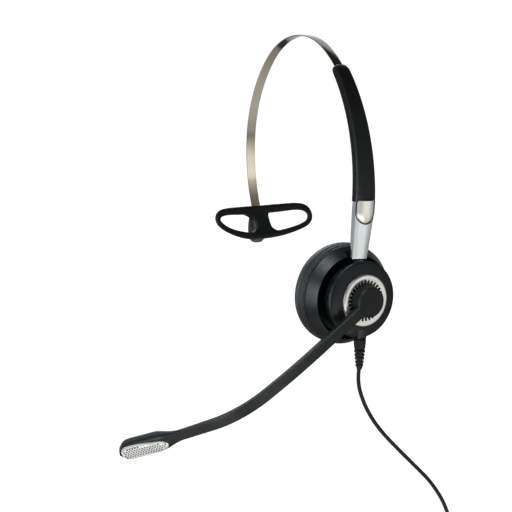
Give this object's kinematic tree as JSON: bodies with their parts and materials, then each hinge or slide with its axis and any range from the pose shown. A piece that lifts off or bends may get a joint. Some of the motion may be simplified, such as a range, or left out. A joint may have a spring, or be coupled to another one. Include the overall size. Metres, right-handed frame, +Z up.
{
  "type": "office headset",
  "caption": "Single-ear office headset: steel headband, T-bar temple rest, size slider, round ear cushion, turning boom microphone and cord with a quick-disconnect plug.",
  "frame": {"origin": "underside of the headband's crown, where the band rests on the head", "axes": "+Z up; +X to the ear cup side; -Y to the front of the wearer, where the microphone is"},
  "size_m": [0.1227, 0.2089, 0.3534],
  "materials": {
    "band_steel": "satin spring steel, drawn along its length",
    "grey_metal": "fine matt grey metal",
    "steel": "plain steel",
    "polished": "polished plated metal",
    "champagne": "satin silver with a warm tone",
    "silver_ring": "satin silver",
    "soft_black": "matt black moulded plastic",
    "satin_black": "satin black moulded plastic with a cool tone",
    "boom_black": "fine matt dark grey plastic",
    "t_bar_rubber": "matt dark rubber",
    "relief_rubber": "matt black rubber",
    "cord_jacket": "smooth dark cord jacket",
    "leatherette": "black leatherette with a fine grain",
    "foam": "open foam",
    "acetal": "black acetal",
    "board": "green laminate",
    "film": "thin translucent film",
    "magnet": "nickel-plated magnet",
    "contacts": "gold-plated contacts"
  },
  "bodies": {
    "headband": {"headband_strip": "band_steel", "band_end_stop": "steel", "t_bar_bracket": "grey_metal", "bracket_rivet": "steel"},
    "t_bar": {"t_bar_frame": "t_bar_rubber", "t_bar_pin": "steel"},
    "size_slider": {"sleeve_outer_cover": "soft_black", "sleeve_inner_cover": "soft_black", "sleeve_friction_spring": "steel", "arm_shell": "polished", "arm_tongue": "champagne", "arm_swivel_stem": "steel", "stem_retaining_clip": "steel"},
    "hub": {"hub_rear_housing": "satin_black", "hub_cover": "satin_black", "hub_toothed_ring": "silver_ring", "boom_bearing": "acetal", "swivel_bush": "relief_rubber", "circuit_board": "board", "hub_screw_front": "steel", "hub_screw_rear": "steel", "cord_gland": "satin_black", "cord_strain_relief": "relief_rubber", "cord_lead": "cord_jacket", "cord_coil": "cord_jacket", "cord_tie": "relief_rubber", "cord_tail": "cord_jacket", "plug_strain_relief": "relief_rubber", "plug_housing": "satin_black", "plug_contacts": "contacts"},
    "ear_cup": {"cup_shell": "satin_black", "cup_tilt_pin": "steel", "speaker_plate": "satin_black", "speaker_frame": "steel", "speaker_diaphragm": "film", "speaker_magnet": "magnet", "speaker_foam": "foam", "ear_cushion": "leatherette"},
    "boom": {"boom_hub": "boom_black", "boom_washer": "steel", "boom_screw": "steel", "boom_arm": "boom_black", "mic_housing": "boom_black", "mic_grille": "silver_ring", "mic_foam": "foam", "mic_boot": "relief_rubber", "mic_capsule": "steel"}
  },
  "joints": [
    {"name": "size_slide", "type": "hinge", "parent": "headband", "child": "size_slider", "pos_m": [-0.04134, 0, -0.08291], "axis": [0, 1, 0], "range_deg": [0, 17]},
    {"name": "t_bar_tilt", "type": "hinge", "parent": "headband", "child": "t_bar", "pos_m": [-0.0403, 0, -0.107], "axis": [0, 1, 0], "range_deg": [-3, 30]},
    {"name": "arm_swivel", "type": "hinge", "parent": "size_slider", "child": "hub", "pos_m": [0.05532, 0, -0.14408], "axis": [0.1115, 0, 0.9938], "range_deg": [-12, 12]},
    {"name": "cup_tilt", "type": "hinge", "parent": "hub", "child": "ear_cup", "pos_m": [0.04945, 0, -0.14343], "axis": [0, 1, 0], "range_deg": [-7, 4]},
    {"name": "boom_rotation", "type": "hinge", "parent": "hub", "child": "boom", "pos_m": [0.03584, 0, -0.1419], "axis": [0.9938, 0, -0.1115], "range_deg": [-119, 50]}
  ]
}
